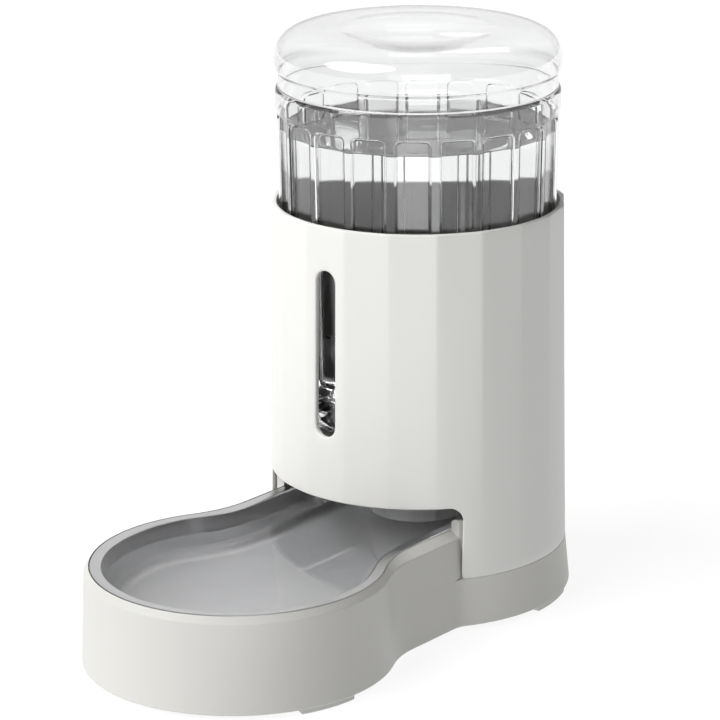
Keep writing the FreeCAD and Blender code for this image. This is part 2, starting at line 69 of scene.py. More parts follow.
# ---------------------------------------------------------------- mesh helpers
# in metres: points closer than the first are merged, edges shorter than the second are dissolved
DOUBLED_M, VANISHED_M = 2e-6, 1e-7
FLAT_TOLERANCE = 1e-6


def place(points, name, faces, sharp=35.0):
    """A mesh object in metres, smooth except along edges sharper than the angle."""
    mesh = bpy.data.meshes.new(name)
    mesh.from_pydata([(x * MM, y * MM, z * MM) for x, y, z in points], [], faces)
    mesh.validate()
    obj = bpy.data.objects.new(name, mesh)
    bpy.context.scene.collection.objects.link(obj)
    weld(obj)
    mesh.shade_smooth()
    mesh.set_sharp_from_angle(angle=radians(sharp))
    return obj


def weld(obj):
    """Merges doubled points and turns the faces outwards."""
    bm = bmesh.new()
    bm.from_mesh(obj.data)
    bmesh.ops.remove_doubles(bm, verts=bm.verts, dist=DOUBLED_M)
    bmesh.ops.dissolve_degenerate(bm, edges=bm.edges, dist=VANISHED_M)
    bmesh.ops.recalc_face_normals(bm, faces=bm.faces)
    bm.to_mesh(obj.data)
    bm.free()


class Surface:
    """Points and faces gathered for one mesh."""

    def __init__(self):
        self.points = []
        self.faces = []

    def add_points(self, points):
        first = len(self.points)
        self.points.extend(points)
        return list(range(first, len(self.points)))

    def strip(self, row_a, row_b, closed=False):
        """Quads between two rows of point numbers."""
        n = len(row_a)
        for i in range(n if closed else n - 1):
            j = (i + 1) % n
            self.faces.append((row_a[i], row_a[j], row_b[j], row_b[i]))

    def rows(self, rings, closed=True):
        """Adds rings of points and the quads between them; returns the point numbers."""
        numbered = [self.add_points(ring) for ring in rings]
        for a, b in zip(numbered, numbered[1:]):
            self.strip(a, b, closed)
        return numbered

    def fill(self, outline, inner, place_point, holes=()):
        """Triangles inside a flat outline, with extra inner points, placed in space by place_point."""
        flat = [Vector(p) for p in outline]
        loops = [list(range(len(flat)))]
        for hole in holes:
            loops.append(list(range(len(flat), len(flat) + len(hole))))
            flat.extend(Vector(p) for p in hole)
        flat.extend(Vector(p) for p in inner)
        edges = [(loop[i], loop[(i + 1) % len(loop)]) for loop in loops for i in range(len(loop))]
        points, _, faces, _, _, _ = delaunay_2d_cdt(flat, edges, [], 0, FLAT_TOLERANCE)
        first = len(self.points)
        self.points.extend(place_point(p) for p in points)
        for face in faces:
            middle = sum((points[i] for i in face), Vector((0, 0))) / len(face)
            if in_loop(middle, outline) and not any(in_loop(middle, hole) for hole in holes):
                self.faces.append(tuple(first + i for i in face))


def in_loop(point, loop):
    """True if a flat point lies inside a closed outline."""
    hit = False
    x, y = point[0], point[1]
    for (x0, y0), (x1, y1) in zip(loop, list(loop[1:]) + [loop[0]]):
        if (y0 > y) != (y1 > y) and x < x0 + (y - y0) * (x1 - x0) / (y1 - y0):
            hit = not hit
    return hit


def steps(a, b, n):
    """The n + 1 values that split a to b evenly."""
    return [a + (b - a) * i / n for i in range(n + 1)]


def smooth(a, b, x):
    """0 below a, 1 above b, and a soft step between."""
    t = min(1.0, max(0.0, (x - a) / (b - a)))
    return t * t * (3 - 2 * t)


def polar(r, angle, z):
    """The point at a radius and an angle round the tower."""
    a = radians(angle)
    return (r * sin(a), TOWER_Y - r * cos(a), z)


def arc(cx, cy, r, a0, a1, n):
    """Points round an arc, without its last one."""
    turns = [a0 + (a1 - a0) * i / n for i in range(n)]
    return [(cx + r * cos(a), cy + r * sin(a)) for a in turns]


def run(p, q, n):
    """Points along a straight line, without its last one."""
    return [(p[0] + (q[0] - p[0]) * i / n, p[1] + (q[1] - p[1]) * i / n) for i in range(n)]


def keyhole(line):
    """Closed outline of a (lobe radius, half width of the neck, radius of the hollow corner) line:
    round lobe in front, hollow corners, straight neck, half round behind the tower's axis."""
    lobe, neck, hollow = line
    corner_x = neck + hollow
    corner_y = LOBE_Y + sqrt((lobe + hollow) ** 2 - corner_x ** 2)
    turn = atan2(corner_y - LOBE_Y, corner_x)
    return (arc(0, LOBE_Y, lobe, -pi - turn, turn, 120)
            + arc(corner_x, corner_y, hollow, pi + turn, pi, 28)
            + run((neck, corner_y), (neck, TOWER_Y), 20)
            + arc(0, TOWER_Y, neck, 0, pi, 72)
            + run((-neck, TOWER_Y), (-neck, corner_y), 20)
            + arc(-corner_x, corner_y, hollow, 0, -turn, 28))


def inset(line, step):
    """The keyhole line that runs inside another at an even distance."""
    lobe, neck, hollow = line
    return (lobe - step, neck - step, hollow + step)


def at_height(outline, z):
    return [(x, y, z) for x, y in outline]


# ---------------------------------------------------------------- material helpers
# the colour sockets of a mix node, which share their names with the sockets of other types
MIX_A, MIX_B, MIX_RESULT = 6, 7, 2


def material(name):
    mat = bpy.data.materials.new(name)
    mat.use_nodes = True
    tree = mat.node_tree
    return mat, tree, tree.nodes["Principled BSDF"]


def node(tree, kind, **values):
    """A new node; a value named in_Something sets that input, any other sets a property."""
    made = tree.nodes.new(kind)
    for key, value in values.items():
        if key.startswith("in_"):
            made.inputs[key[3:].replace("_", " ")].default_value = value
        else:
            setattr(made, key, value)
    return made


def noise(tree, scale, detail=3.0, stretch=(1, 1, 1), roughness=0.5):
    """Noise in the object's own metres, stretched along the axes."""
    where = node(tree, "ShaderNodeTexCoord")
    mapping = node(tree, "ShaderNodeMapping")
    mapping.inputs["Scale"].default_value = stretch
    texture = node(tree, "ShaderNodeTexNoise", in_Scale=scale, in_Detail=detail, in_Roughness=roughness)
    tree.links.new(where.outputs["Object"], mapping.inputs["Vector"])
    tree.links.new(mapping.outputs["Vector"], texture.inputs["Vector"])
    return texture.outputs["Fac"]


def ramp(tree, source, low, high, start=0.3, end=0.7):
    """A value or colour that runs from low to high as the source does."""
    made = node(tree, "ShaderNodeMapRange")
    made.inputs["From Min"].default_value = start
    made.inputs["From Max"].default_value = end
    tree.links.new(source, made.inputs["Value"])
    if isinstance(low, (int, float)):
        made.inputs["To Min"].default_value = low
        made.inputs["To Max"].default_value = high
        return made.outputs["Result"]
    mix = node(tree, "ShaderNodeMix", data_type="RGBA")
    mix.inputs[MIX_A].default_value = (*low, 1)
    mix.inputs[MIX_B].default_value = (*high, 1)
    tree.links.new(made.outputs["Result"], mix.inputs["Factor"])
    return mix.outputs[MIX_RESULT]


def bump(tree, shader, source, height, strength):
    made = node(tree, "ShaderNodeBump", in_Strength=strength, in_Distance=height)
    tree.links.new(source, made.inputs["Height"])
    tree.links.new(made.outputs["Normal"], shader.inputs["Normal"])


def moulded(name, colour, roughness, grain=900.0, depth=0.00002):
    """Moulded plastic: faint flow marks in the colour, fine grain in the gloss and the surface."""
    mat, tree, shader = material(name)
    flow = noise(tree, 9.0, 4.0, (1, 1, 0.35))
    darker = tuple(c * 0.985 for c in colour)
    tree.links.new(ramp(tree, flow, darker, colour), shader.inputs["Base Color"])
    fine = noise(tree, grain, 2.0)
    tree.links.new(ramp(tree, fine, roughness - 0.04, roughness + 0.05), shader.inputs["Roughness"])
    bump(tree, shader, fine, depth, 0.5)
    shader.inputs["IOR"].default_value = 1.48
    return mat


# metres above the ground between which the bowl's dull floor turns into its bright wall
DULL_BELOW, BRIGHT_ABOVE = 0.022, 0.029


def steel(name, colour, roughness, stretch=(1, 1, 1), floor_metal=1.0):
    """Stainless steel with fine drawn lines, duller on the bowl's floor if floor_metal is below one."""
    mat, tree, shader = material(name)
    height = node(tree, "ShaderNodeSeparateXYZ")
    tree.links.new(node(tree, "ShaderNodeTexCoord").outputs["Object"], height.inputs["Vector"])
    metal = ramp(tree, height.outputs["Z"], floor_metal, 1.0, DULL_BELOW, BRIGHT_ABOVE)
    tree.links.new(metal, shader.inputs["Metallic"])
    lines = noise(tree, 160.0, 3.0, stretch)
    broad = noise(tree, 22.0, 3.0)
    darker = tuple(c * 0.93 for c in colour)
    tree.links.new(ramp(tree, broad, darker, colour), shader.inputs["Base Color"])
    tree.links.new(ramp(tree, lines, roughness - 0.03, roughness + 0.04), shader.inputs["Roughness"])
    bump(tree, shader, lines, 0.000001, 0.4)
    return mat


def clear(name, colour, ior):
    """Clear plastic or water, with a faint unevenness in its tint."""
    mat, tree, shader = material(name)
    uneven = noise(tree, 30.0, 2.0)
    paler = tuple(min(1.0, c * 1.006) for c in colour)
    tree.links.new(ramp(tree, uneven, colour, paler), shader.inputs["Base Color"])
    shader.inputs["Transmission Weight"].default_value = 1.0
    shader.inputs["Roughness"].default_value = 0.0
    shader.inputs["IOR"].default_value = ior
    return mat


WHITE = moulded("sleeve_plastic", (0.745, 0.742, 0.72), 0.42)
OFF_WHITE = moulded("base_plastic", (0.59, 0.585, 0.56), 0.42)
CAP_GREY = moulded("cap_plastic", (0.72, 0.72, 0.715), 0.4)
VALVE_WHITE = moulded("valve_plastic", (0.6, 0.6, 0.59), 0.45)
FOOT = moulded("foot_rubber", (0.62, 0.62, 0.60), 0.6, 1400.0, 0.00004)
SEAL = moulded("seal_rubber", (0.45, 0.45, 0.44), 0.55)
STEEL = steel("bowl_steel", (0.67, 0.67, 0.68), 0.32, floor_metal=0.35)
ROD = steel("valve_steel", (0.58, 0.58, 0.6), 0.25, (1, 1, 0.1))
SCREW = steel("screw_steel", (0.55, 0.55, 0.56), 0.3)
TANK = clear("tank_clear", (0.952, 0.955, 0.955), 1.49)
WATER = clear("water_clear", (0.985, 0.99, 0.992), 1.333)


def finish_piece(obj, mat, body, slot, *replaced):
    """Gives a piece its material and its body, and hides the CAD nodes that it stands for, if any; slot is
    not used.
    """
    obj.data.materials.clear()
    obj.data.materials.append(mat)
    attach(obj, body)
    if replaced:
        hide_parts(*replaced)


# ---------------------------------------------------------------- sleeve
SLEEVE_FOOT_R, SLEEVE_TOP_R = sleeve_high.x, 86.0
SLEEVE_T = 2.5
SLEEVE_LOW, SLEEVE_TOP = sleeve_low.z, sleeve_high.z
FLAT_TOP_R = SLEEVE_TOP_R * cos(radians(FACET / 2))
SLOT_HALF, SLOT_LOW, SLOT_HIGH = 7.1, 112.2, 210.9
# the bowl cut-out: half width, top edge and corner radius, and the angle where its side edge runs
CUT_HALF, CUT_TOP, CUT_CORNER, CUT_ANGLE = 72.2, 74.8, 8.5, 54.6
# the wall is laid out flat as (s, z), where s is measured round a circle of this radius
UNROLL_R = 87.0
# how softly two facets meet, in degrees
FACET_SOFT = 0.55
FOOT_ROUND, RIM_ROUND, SLOT_ROUND, CUT_ROUND = 0.6, 0.8, 1.1, 0.6
# the front part, which holds the slot and the cut-out, reaches this far to each side, in degrees
FRONT_ANGLE = 72.0
# the foot's points stay this far from the cut-out
FOOT_CLEAR = 0.3


def sleeve_r(angle, z):
    """Outer radius: a facet's flat at the top, fading to a round foot, with softened edges."""
    share = (z - SLEEVE_LOW) / (SLEEVE_TOP - SLEEVE_LOW)
    off = abs((angle + FACET / 2) % FACET - FACET / 2)
    to_edge = FACET / 2 - off
    soft = FACET / 2 - (sqrt(to_edge ** 2 + FACET_SOFT ** 2) - FACET_SOFT)
    flat = FLAT_TOP_R / cos(radians(soft))
    below = max(0.0, FOOT_ROUND - (z - SLEEVE_LOW))
    rounded = FOOT_ROUND - sqrt(FOOT_ROUND ** 2 - min(below, FOOT_ROUND) ** 2)
    return SLEEVE_FOOT_R + (flat - SLEEVE_FOOT_R) * share - rounded


def sleeve_bore(z):
    """Inner radius at a height."""
    share = (z - SLEEVE_LOW) / (SLEEVE_TOP - SLEEVE_LOW)
    return (SLEEVE_FOOT_R - SLEEVE_T) * (1 - share) + (FLAT_TOP_R - SLEEVE_T) * share


def on_sleeve(s, z, depth=0.0):
    """A laid-out point on the outer face, or this deep below it."""
    angle = degrees(s / UNROLL_R)
    return polar(sleeve_r(angle, z) - depth, angle, z)


def in_sleeve(s, z):
    """A laid-out point on the inner face."""
    return polar(sleeve_bore(z), degrees(s / UNROLL_R), z)


def slot_loop(grow):
    """The slot's outline on the unrolled wall, grown outwards."""
    r = SLOT_HALF + grow
    low, high = SLOT_LOW + SLOT_HALF, SLOT_HIGH - SLOT_HALF
    return (arc(0, high, r, 0, pi, 24) + run((-r, high), (-r, low), 14)
            + arc(0, low, r, pi, 2 * pi, 24) + run((r, low), (r, high), 14))


def cut_path(grow, radius_at):
    """The bowl cut-out's edge from its left foot over the top to its right foot, grown outwards."""
    def side(z):
        return UNROLL_R * asin(min(1.0, CUT_HALF / radius_at(z))) + grow
    corner = CUT_CORNER + grow
    top = CUT_TOP + grow
    turn_z = top - corner
    left_up = [(-side(z), z) for z in steps(SLEEVE_LOW, turn_z, 10)]
    mid = side(CUT_TOP)
    turns = steps(0, pi / 2, 14)[1:]
    left_arc = [(-mid + corner - corner * cos(a), turn_z + corner * sin(a)) for a in turns]
    over = [(s, top) for s in steps(-mid + corner, mid - corner, 60)][1:-1]
    right_arc = [(-s, z) for s, z in reversed(left_arc)]
    right_down = [(-s, z) for s, z in reversed(left_up)]
    return left_up + left_arc + over + right_arc + right_down


# where columns of points run on each facet, in degrees from its edge, and at which heights rows do
FACET_COLUMNS = (0, 0.35, 0.7, 1.2, 2.2, 4.5, 9, 13.5, 15.8, 16.8, 17.3, 17.65)
FOOT_ROWS = [SLEEVE_LOW + FOOT_ROUND * t for t in (0.06, 0.2, 0.45, 1.0)]
WALL_ROWS = [38, 46, 56, 66, 76, 84, 96, 112, 130, 150, 170, 190, 206, 218, 228]


def outer_r_by_cut(z):
    return sleeve_r(CUT_ANGLE, z)


def sleeve():
    """The faceted sleeve with rounded slot, cut-out and rim edges."""
    made = Surface()
    marks = {round(FACET / 2 + k * FACET + o, 3) for k in range(-10, 10) for o in FACET_COLUMNS}
    marks |= {-FRONT_ANGLE, FRONT_ANGLE, -180.0, 180.0}
    unroll = [radians(c) * UNROLL_R for c in sorted(marks) if -180 <= c <= 180]
    top = SLEEVE_TOP - RIM_ROUND
    heights = [SLEEVE_LOW] + FOOT_ROWS + WALL_ROWS + [top]
    s_front = radians(FRONT_ANGLE) * UNROLL_R
    # the half behind the cut-out, outside and inside
    for sign in (-1, 1):
        back = [s for s in unroll if s * sign >= s_front - 1e-6]
        made.rows([[on_sleeve(s, z) for s in back] for z in heights], closed=False)
        made.rows([[in_sleeve(s, z) for s in back] for z in heights], closed=False)
    # the front, with the slot and the cut-out
    outer_cut = cut_path(CUT_ROUND, outer_r_by_cut)
    inner_cut = cut_path(0.0, sleeve_bore)
    middle = [s for s in unroll if abs(s) < s_front - 1e-6]
    kept_clear = slot_loop(SLOT_ROUND + 1.0)
    faces = ((outer_cut, slot_loop(SLOT_ROUND), on_sleeve), (inner_cut, slot_loop(0.0), in_sleeve))
    for cut, hole, put in faces:
        below = [s for s in middle if s > cut[-1][0] + FOOT_CLEAR]
        outline = (cut + [(s, SLEEVE_LOW) for s in below] + [(s_front, z) for z in heights]
                   + [(s, top) for s in reversed(middle)]
                   + [(-s_front, z) for z in reversed(heights)] + [(-s, SLEEVE_LOW) for s in reversed(below)])
        grid = [(s, z) for s in middle for z in FOOT_ROWS + steps(SLEEVE_LOW, top, 60)[1:-1]]
        inner = [p for p in grid if not near_cut(*p, cut, 1.2) and not in_loop(p, kept_clear)]
        made.fill(outline, inner, lambda p, put=put: put(p[0], p[1]), [hole])
    # the rounded edges, from the outside to the bore
    quarter = steps(0, pi / 2, 5)
    slot_rows = [[on_sleeve(s, z, SLOT_ROUND * (1 - cos(a))) for s, z in slot_loop(SLOT_ROUND * (1 - sin(a)))]
                 for a in quarter]
    made.rows(slot_rows + [[in_sleeve(s, z) for s, z in slot_loop(0.0)]])
    cut_rows = [[on_sleeve(s, z, CUT_ROUND * (1 - cos(a)))
                 for s, z in cut_path(CUT_ROUND * (1 - sin(a)), outer_r_by_cut)] for a in quarter]
    made.rows(cut_rows + [[in_sleeve(s, z) for s, z in inner_cut]], closed=False)
    rim = [(RIM_ROUND * (1 - cos(a)), top + RIM_ROUND * sin(a)) for a in quarter]
    outer_rim = [[on_sleeve(s, z, depth) for s in unroll] for depth, z in rim]
    inner_rim = [[polar(sleeve_bore(SLEEVE_TOP) + depth, degrees(s / UNROLL_R), z) for s in unroll]
                 for depth, z in reversed(rim)]
    made.rows(outer_rim + inner_rim, closed=False)
    # the foot, a flat ring from the outside to the bore
    foot_out, foot_in = outer_cut[-1][0], inner_cut[-1][0]
    for sign in (-1, 1):
        tail = sorted((s for s in unroll if s * sign > foot_out + FOOT_CLEAR), key=abs)
        made.rows([[on_sleeve(s, SLEEVE_LOW) for s in [sign * foot_out] + tail],
                   [in_sleeve(s, SLEEVE_LOW) for s in [sign * foot_in] + tail]], closed=False)
    return place(made.points, "sleeve", made.faces, 30.0)


def near_cut(s, z, cut, gap):
    """True if an unrolled point lies in the cut-out or close to its edge."""
    foot = cut[0]
    loop = [(foot[0], foot[1] - 20)] + list(cut) + [(cut[-1][0], cut[-1][1] - 20)]
    if in_loop((s, z), loop):
        return True
    return any(hypot(s - a, z - b) < gap for a, b in cut)


finish_piece(sleeve(), WHITE, "housing", "sleeve_plastic", "tower_housing")


# ---------------------------------------------------------------- tank
# wall thickness, neck, crest and lip of the dome, power of the shoulder's curve, fluted wall, dish
TANK_T = 1.3
NECK_R, NECK_BORE = 26.0, 24.0
MOUTH_Z = tank_low.z
CREST_R, CREST_Z = 58.0, 338.3
LIP_R, LIP_Z = 45.5, 337.4
DOME_POWER = 2 / 2.43
DOME_R, DOME_LOW = 83.2, 321.0
BODY_LOW, BODY_HIGH = 121.0, 290.5
BODY_LOW_R, BODY_HIGH_R = 79.3, 82.2
FLUTE_LOW, FLUTE_HIGH = 139.5, 289.8
FLUTE_DEEP, FLUTE_SLOPE, FLUTE_CORNER, RIB_HALF = 1.6, 1.7, 4.0, 2.1
DISH_R, DISH_RIM_Z, DISH_DEEP = 44.0, 336.9, 8.0


def body_r(z):
    """Radius of the ribs at a height."""
    return BODY_LOW_R + (z - BODY_LOW) * (BODY_HIGH_R - BODY_LOW_R) / (BODY_HIGH - BODY_LOW)


def dish_z(radius):
    """Height of the round dish in the dome's top."""
    ball = (DISH_R ** 2 + DISH_DEEP ** 2) / (2 * DISH_DEEP)
    return DISH_RIM_Z - DISH_DEEP + ball - sqrt(ball ** 2 - radius ** 2)


def through(a, b, c, n):
    """Points on the circle through three (r, z) points, from a to c."""
    (ax, ay), (bx, by), (cx, cy) = a, b, c
    d = 2 * (ax * (by - cy) + bx * (cy - ay) + cx * (ay - by))
    aa, bb, cc = ax * ax + ay * ay, bx * bx + by * by, cx * cx + cy * cy
    ux = (aa * (by - cy) + bb * (cy - ay) + cc * (ay - by)) / d
    uy = (aa * (cx - bx) + bb * (ax - cx) + cc * (bx - ax)) / d
    r = hypot(ax - ux, ay - uy)
    a0, a1, a2 = (atan2(p[1] - uy, p[0] - ux) for p in (a, b, c))
    while a1 - a0 > pi:
        a1 -= 2 * pi
    while a1 - a0 < -pi:
        a1 += 2 * pi
    while a2 - a1 > pi:
        a2 -= 2 * pi
    while a2 - a1 < -pi:
        a2 += 2 * pi
    return [(ux + r * cos(t), uy + r * sin(t)) for t in steps(a0, a2, n)]


def tank_skin(t):
    """Half section of the tank from the mouth to the top, set in by t."""
    neck = NECK_R if t == 0 else NECK_BORE
    line = [(neck, MOUTH_Z)]
    if t == 0:
        bead = NECK_R + 3.4
        line += [(neck, 76.0), (bead - 0.5, 76.0), (bead, 76.5)]
        line += [(bead, 78.0), (bead - 0.5, 78.5), (neck, 78.5)]
    line += through((neck, 82.0 + t * 0.3), (neck + 1.3, 84.4 + t), (30.0, 86.0 + t), 6)
    knee = (body_r(BODY_LOW) - t, BODY_LOW)
    line += through((71.0 - t * 0.4, 109.5 + t), (77.4 - t, 113.6 + t * 0.4), knee, 12)
    line += [(body_r(z) - t, z) for z in (126, 132)]
    line += [(body_r(z) - t, z) for z in steps(FLUTE_LOW - 0.5, FLUTE_LOW + 6, 14)]
    line += [(body_r(z) - t, z) for z in steps(FLUTE_LOW + 14, FLUTE_HIGH - 10, 14)]
    line += [(body_r(z) - t, z) for z in steps(FLUTE_HIGH - 6, FLUTE_HIGH + 0.4, 16)]
    # the band above the flutes, the ring groove and the dome's foot
    line += [(82.35 - t, 291.0), (82.7 - t, 291.6), (82.8 - t, 292.4), (82.8 - t, 297.0), (82.8 - t, 301.0)]
    line += through((82.75 - t, 302.2), (82.2 - t, 303.9), (81.2 - t, 304.8), 6)
    line += [(81.0 - t, 305.4), (81.0 - t, 309.0), (81.0 - t, 312.6)]
    line += through((81.15 - t, 313.4), (82.0 - t, 314.8), (82.75 - t, 315.7), 6)
    line += [(83.0 - t, 316.6), (83.15 - t, 318.5)]
    # the dome's shoulder bulges more than an ellipse, and runs level into the crest
    wide, tall = DOME_R - t - CREST_R, CREST_Z - t - DOME_LOW
    for a in steps(0, pi / 2, 30):
        line.append((CREST_R + wide * cos(a) ** DOME_POWER, DOME_LOW + tall * sin(a) ** DOME_POWER))
    for f in steps(0, 1, 6)[1:]:
        line.append((CREST_R - (CREST_R - LIP_R) * f, CREST_Z - t - (CREST_Z - LIP_Z) * f ** 2))
    line += [(r, dish_z(r) - t) for r in (DISH_R, 42, 38, 32, 25, 18, 12, 6, 2, 0.0001)]
    return line


def flute(angle, z):
    """How far the skin is sunk below the rib's circle at a point of a fluted wall."""
    off = (angle + FACET / 2) % FACET - FACET / 2
    rib = body_r(z)
    half = rib * radians(FACET / 2) - RIB_HALF
    x = abs(rib * radians(off))
    middle, tall = (FLUTE_LOW + FLUTE_HIGH) / 2, (FLUTE_HIGH - FLUTE_LOW) / 2
    px, pz = x - (half - FLUTE_CORNER), abs(z - middle) - (tall - FLUTE_CORNER)
    gap = hypot(max(px, 0), max(pz, 0)) + min(max(px, pz), 0) - FLUTE_CORNER
    sunk = rib - (rib * cos(radians(FACET / 2)) - FLUTE_DEEP) / cos(radians(off))
    return sunk * smooth(0.0, FLUTE_SLOPE, -gap)


# where columns of points run on each flute, in degrees from its middle
FLUTE_COLUMNS = (-9, -8.3, -7.7, -7.45, -7.2, -6.95, -6.7, -6.45, -6.2, -5.8, -4.6, -2.4, 0,
                 2.4, 4.6, 5.8, 6.2, 6.45, 6.7, 6.95, 7.2, 7.45, 7.7, 8.3)


def fluted_ring(r, z):
    """One ring of points, sunk where the wall is fluted."""
    wall = FLUTE_LOW - 1 < z < FLUTE_HIGH + 1
    ring = []
    for k in range(FACETS):
        for off in FLUTE_COLUMNS:
            ring.append(polar(r - (flute(off, z) if wall and r > 60 else 0), k * FACET + off, z))
    return ring


def tank():
    """Clear bottle: outer and inner skin joined at the lip."""
    made = Surface()
    outer = [fluted_ring(r, z) for r, z in reversed(tank_skin(0))]
    inner = [fluted_ring(r, z) for r, z in tank_skin(TANK_T)]
    made.rows(outer + inner)
    return place(made.points, "tank_bottle", made.faces, 40.0)


finish_piece(tank(), TANK, "bottle", "tank_clear", "tank")

# water stands this far off the walls that hold it
WATER_GAP = 0.3
TANK_WATER_Z = 280.6
TANK_WATER_LOW = 80.5
# (distance in from the wall, drop below the edge) of the water's raised edge
MENISCUS = ((0.35, 0.35), (1.0, 0.6), (2.5, 0.75))


def tank_water():
    """The water in the bottle, up to its level."""
    made = Surface()
    skin = [(r - WATER_GAP, z + (WATER_GAP if z < 115 and r > 27 else 0))
            for r, z in tank_skin(TANK_T) if TANK_WATER_LOW < z < TANK_WATER_Z - 0.6]
    top_r = body_r(TANK_WATER_Z) - (TANK_T + WATER_GAP)
    rings = [[(0, TOWER_Y, TANK_WATER_LOW)] * (FACETS * len(FLUTE_COLUMNS))]
    rings += [fluted_ring(r, TANK_WATER_LOW) for r in (8, 16, skin[0][0])]
    rings += [fluted_ring(r, z) for r, z in skin]
    rings.append(fluted_ring(top_r, TANK_WATER_Z))
    rings += [fluted_ring(top_r - d, TANK_WATER_Z - drop) for d, drop in MENISCUS]
    level = TANK_WATER_Z - 0.78
    rings += [[polar(r, k * FACET + off, level) for k in range(FACETS) for off in FLUTE_COLUMNS]
              for r in (70, 50, 30, 15, 5, 0.0001)]
    made.rows(rings)
    return place(made.points, "tank_water", made.faces, 40.0)


finish_piece(tank_water(), WATER, "bottle", "")


# ---------------------------------------------------------------- bowl
FLANGE_LINE = (83.45, 62.0, 72.8)
MOUTH_LINE = (76.8, 54.9, 80.0)
FLOOR_Z = 20.0
BOWL_T = 0.9
# radius of the rolled inner edge, and of the flange's rounded outer edge
ROLL, LIP = 1.3, 0.25
# how far in from the mouth the wall's heel and the flat floor begin
HEEL_IN, HEEL_Z = 3.6, 31.0
SOLE_IN = 14.8
RIDGE_Y0, RIDGE_Y1, RIDGE_HALF, RIDGE_H = -29.0, 20.0, 3.5, 0.8
BOSS_R, BOSS_TOP_R, BOSS_H = 10.0, 5.0, 4.0


def off_ridge(x, y):
    """Distance from the ridge's middle line."""
    along = min(max(y, RIDGE_Y0 + RIDGE_HALF), RIDGE_Y1 - RIDGE_HALF)
    return hypot(x, y - along)


def off_boss(x, y):
    return hypot(x, y - TOWER_Y)


def bowl_floor(x, y):
    """Height of the pressed floor, with its ridge and the boss under the valve."""
    ridge = RIDGE_H * (1 - smooth(RIDGE_HALF - 2.4, RIDGE_HALF + 1.2, off_ridge(x, y)))
    boss = BOSS_H * (1 - smooth(BOSS_TOP_R - 0.5, BOSS_R, off_boss(x, y)))
    return FLOOR_Z + ridge + boss


def bowl_section():
    """(inset from the mouth, height) from the flange's inner edge down to the floor."""
    line = [(-ROLL + ROLL * sin(a), FLANGE_Z - ROLL + ROLL * cos(a)) for a in steps(0, radians(82), 6)]
    for t in (0.12, 0.35, 0.6, 0.85, 1.0):
        line.append((HEEL_IN * t, FLANGE_Z - ROLL + (HEEL_Z - FLANGE_Z + ROLL) * t))
    # from the heel a quarter-like curve runs into the floor
    for t in steps(0, 1, 14)[1:]:
        a = t * pi / 2
        line.append((HEEL_IN + (SOLE_IN - HEEL_IN) * (1 - cos(a)), HEEL_Z - (HEEL_Z - FLOOR_Z) * sin(a)))
    return line


def fine_zone(x, y):
    """True near the ridge and the boss, where the floor needs close points."""
    return off_ridge(x, y) < RIDGE_HALF + 1.8 or off_boss(x, y) < BOSS_R + 1.5


def floor_points(outline):
    """Inner points for the floor's triangles: a coarse grid, and finer ones round the ridge and the boss."""
    coarse = [(i * 4.5 + (2.25 if j % 2 else 0), j * 4.0) for i in range(-16, 17) for j in range(-40, 40)]
    close = [(i * 1.0, j * 1.0) for i in range(-12, 13) for j in range(-36, 96)]
    kept = [p for p in coarse if in_loop(p, outline) and not fine_zone(*p)]
    return kept + [p for p in close if fine_zone(*p) and in_loop(p, outline)]


def bowl():
    """Pressed steel bowl: flange, rolled inner edge, wall, curved heel and floor."""
    made = Surface()
    outside = [(FLANGE_LINE, FLANGE_Z - BOWL_T), (FLANGE_LINE, FLANGE_Z - LIP),
               (inset(FLANGE_LINE, 0.07), FLANGE_Z - 0.1), (inset(FLANGE_LINE, LIP), FLANGE_Z)]
    rings = [at_height(keyhole(line), z) for line, z in outside]
    roll_line = inset(MOUTH_LINE, -ROLL)
    flat = [at_height(keyhole(between(FLANGE_LINE, roll_line, t)), FLANGE_Z) for t in (0.3, 0.7)]
    section = [at_height(keyhole(inset(MOUTH_LINE, d)), z) for d, z in bowl_section()]
    made.rows(rings + flat + section)
    inner = floor_points(keyhole(inset(MOUTH_LINE, SOLE_IN + 1.5)))
    made.fill(keyhole(inset(MOUTH_LINE, SOLE_IN)), inner, lambda p: (p[0], p[1], bowl_floor(p[0], p[1])))
    # the underside, one wall thickness below
    under = [at_height(keyhole(FLANGE_LINE), FLANGE_Z - BOWL_T)]
    for i, (d, z) in enumerate(bowl_section()[2:], 2):
        drop = BOWL_T if i < 3 or z < HEEL_Z else BOWL_T / 2
        under.append(at_height(keyhole(inset(MOUTH_LINE, d - BOWL_T)), z - drop))
    made.rows(under)
    made.fill(keyhole(inset(MOUTH_LINE, SOLE_IN - BOWL_T)), inner,
              lambda p: (p[0], p[1], bowl_floor(p[0], p[1]) - BOWL_T))
    return place(made.points, "steel_bowl", made.faces, 40.0)


def between(low, high, share):
    return tuple(a + (b - a) * share for a, b in zip(low, high))


finish_piece(bowl(), STEEL, "bowl", "bowl_steel", "bowl")

BOWL_WATER_Z = 49.9
# no air is left between the water and the steel, so the water's skin sinks this far into it
BOWL_SINK = 0.2


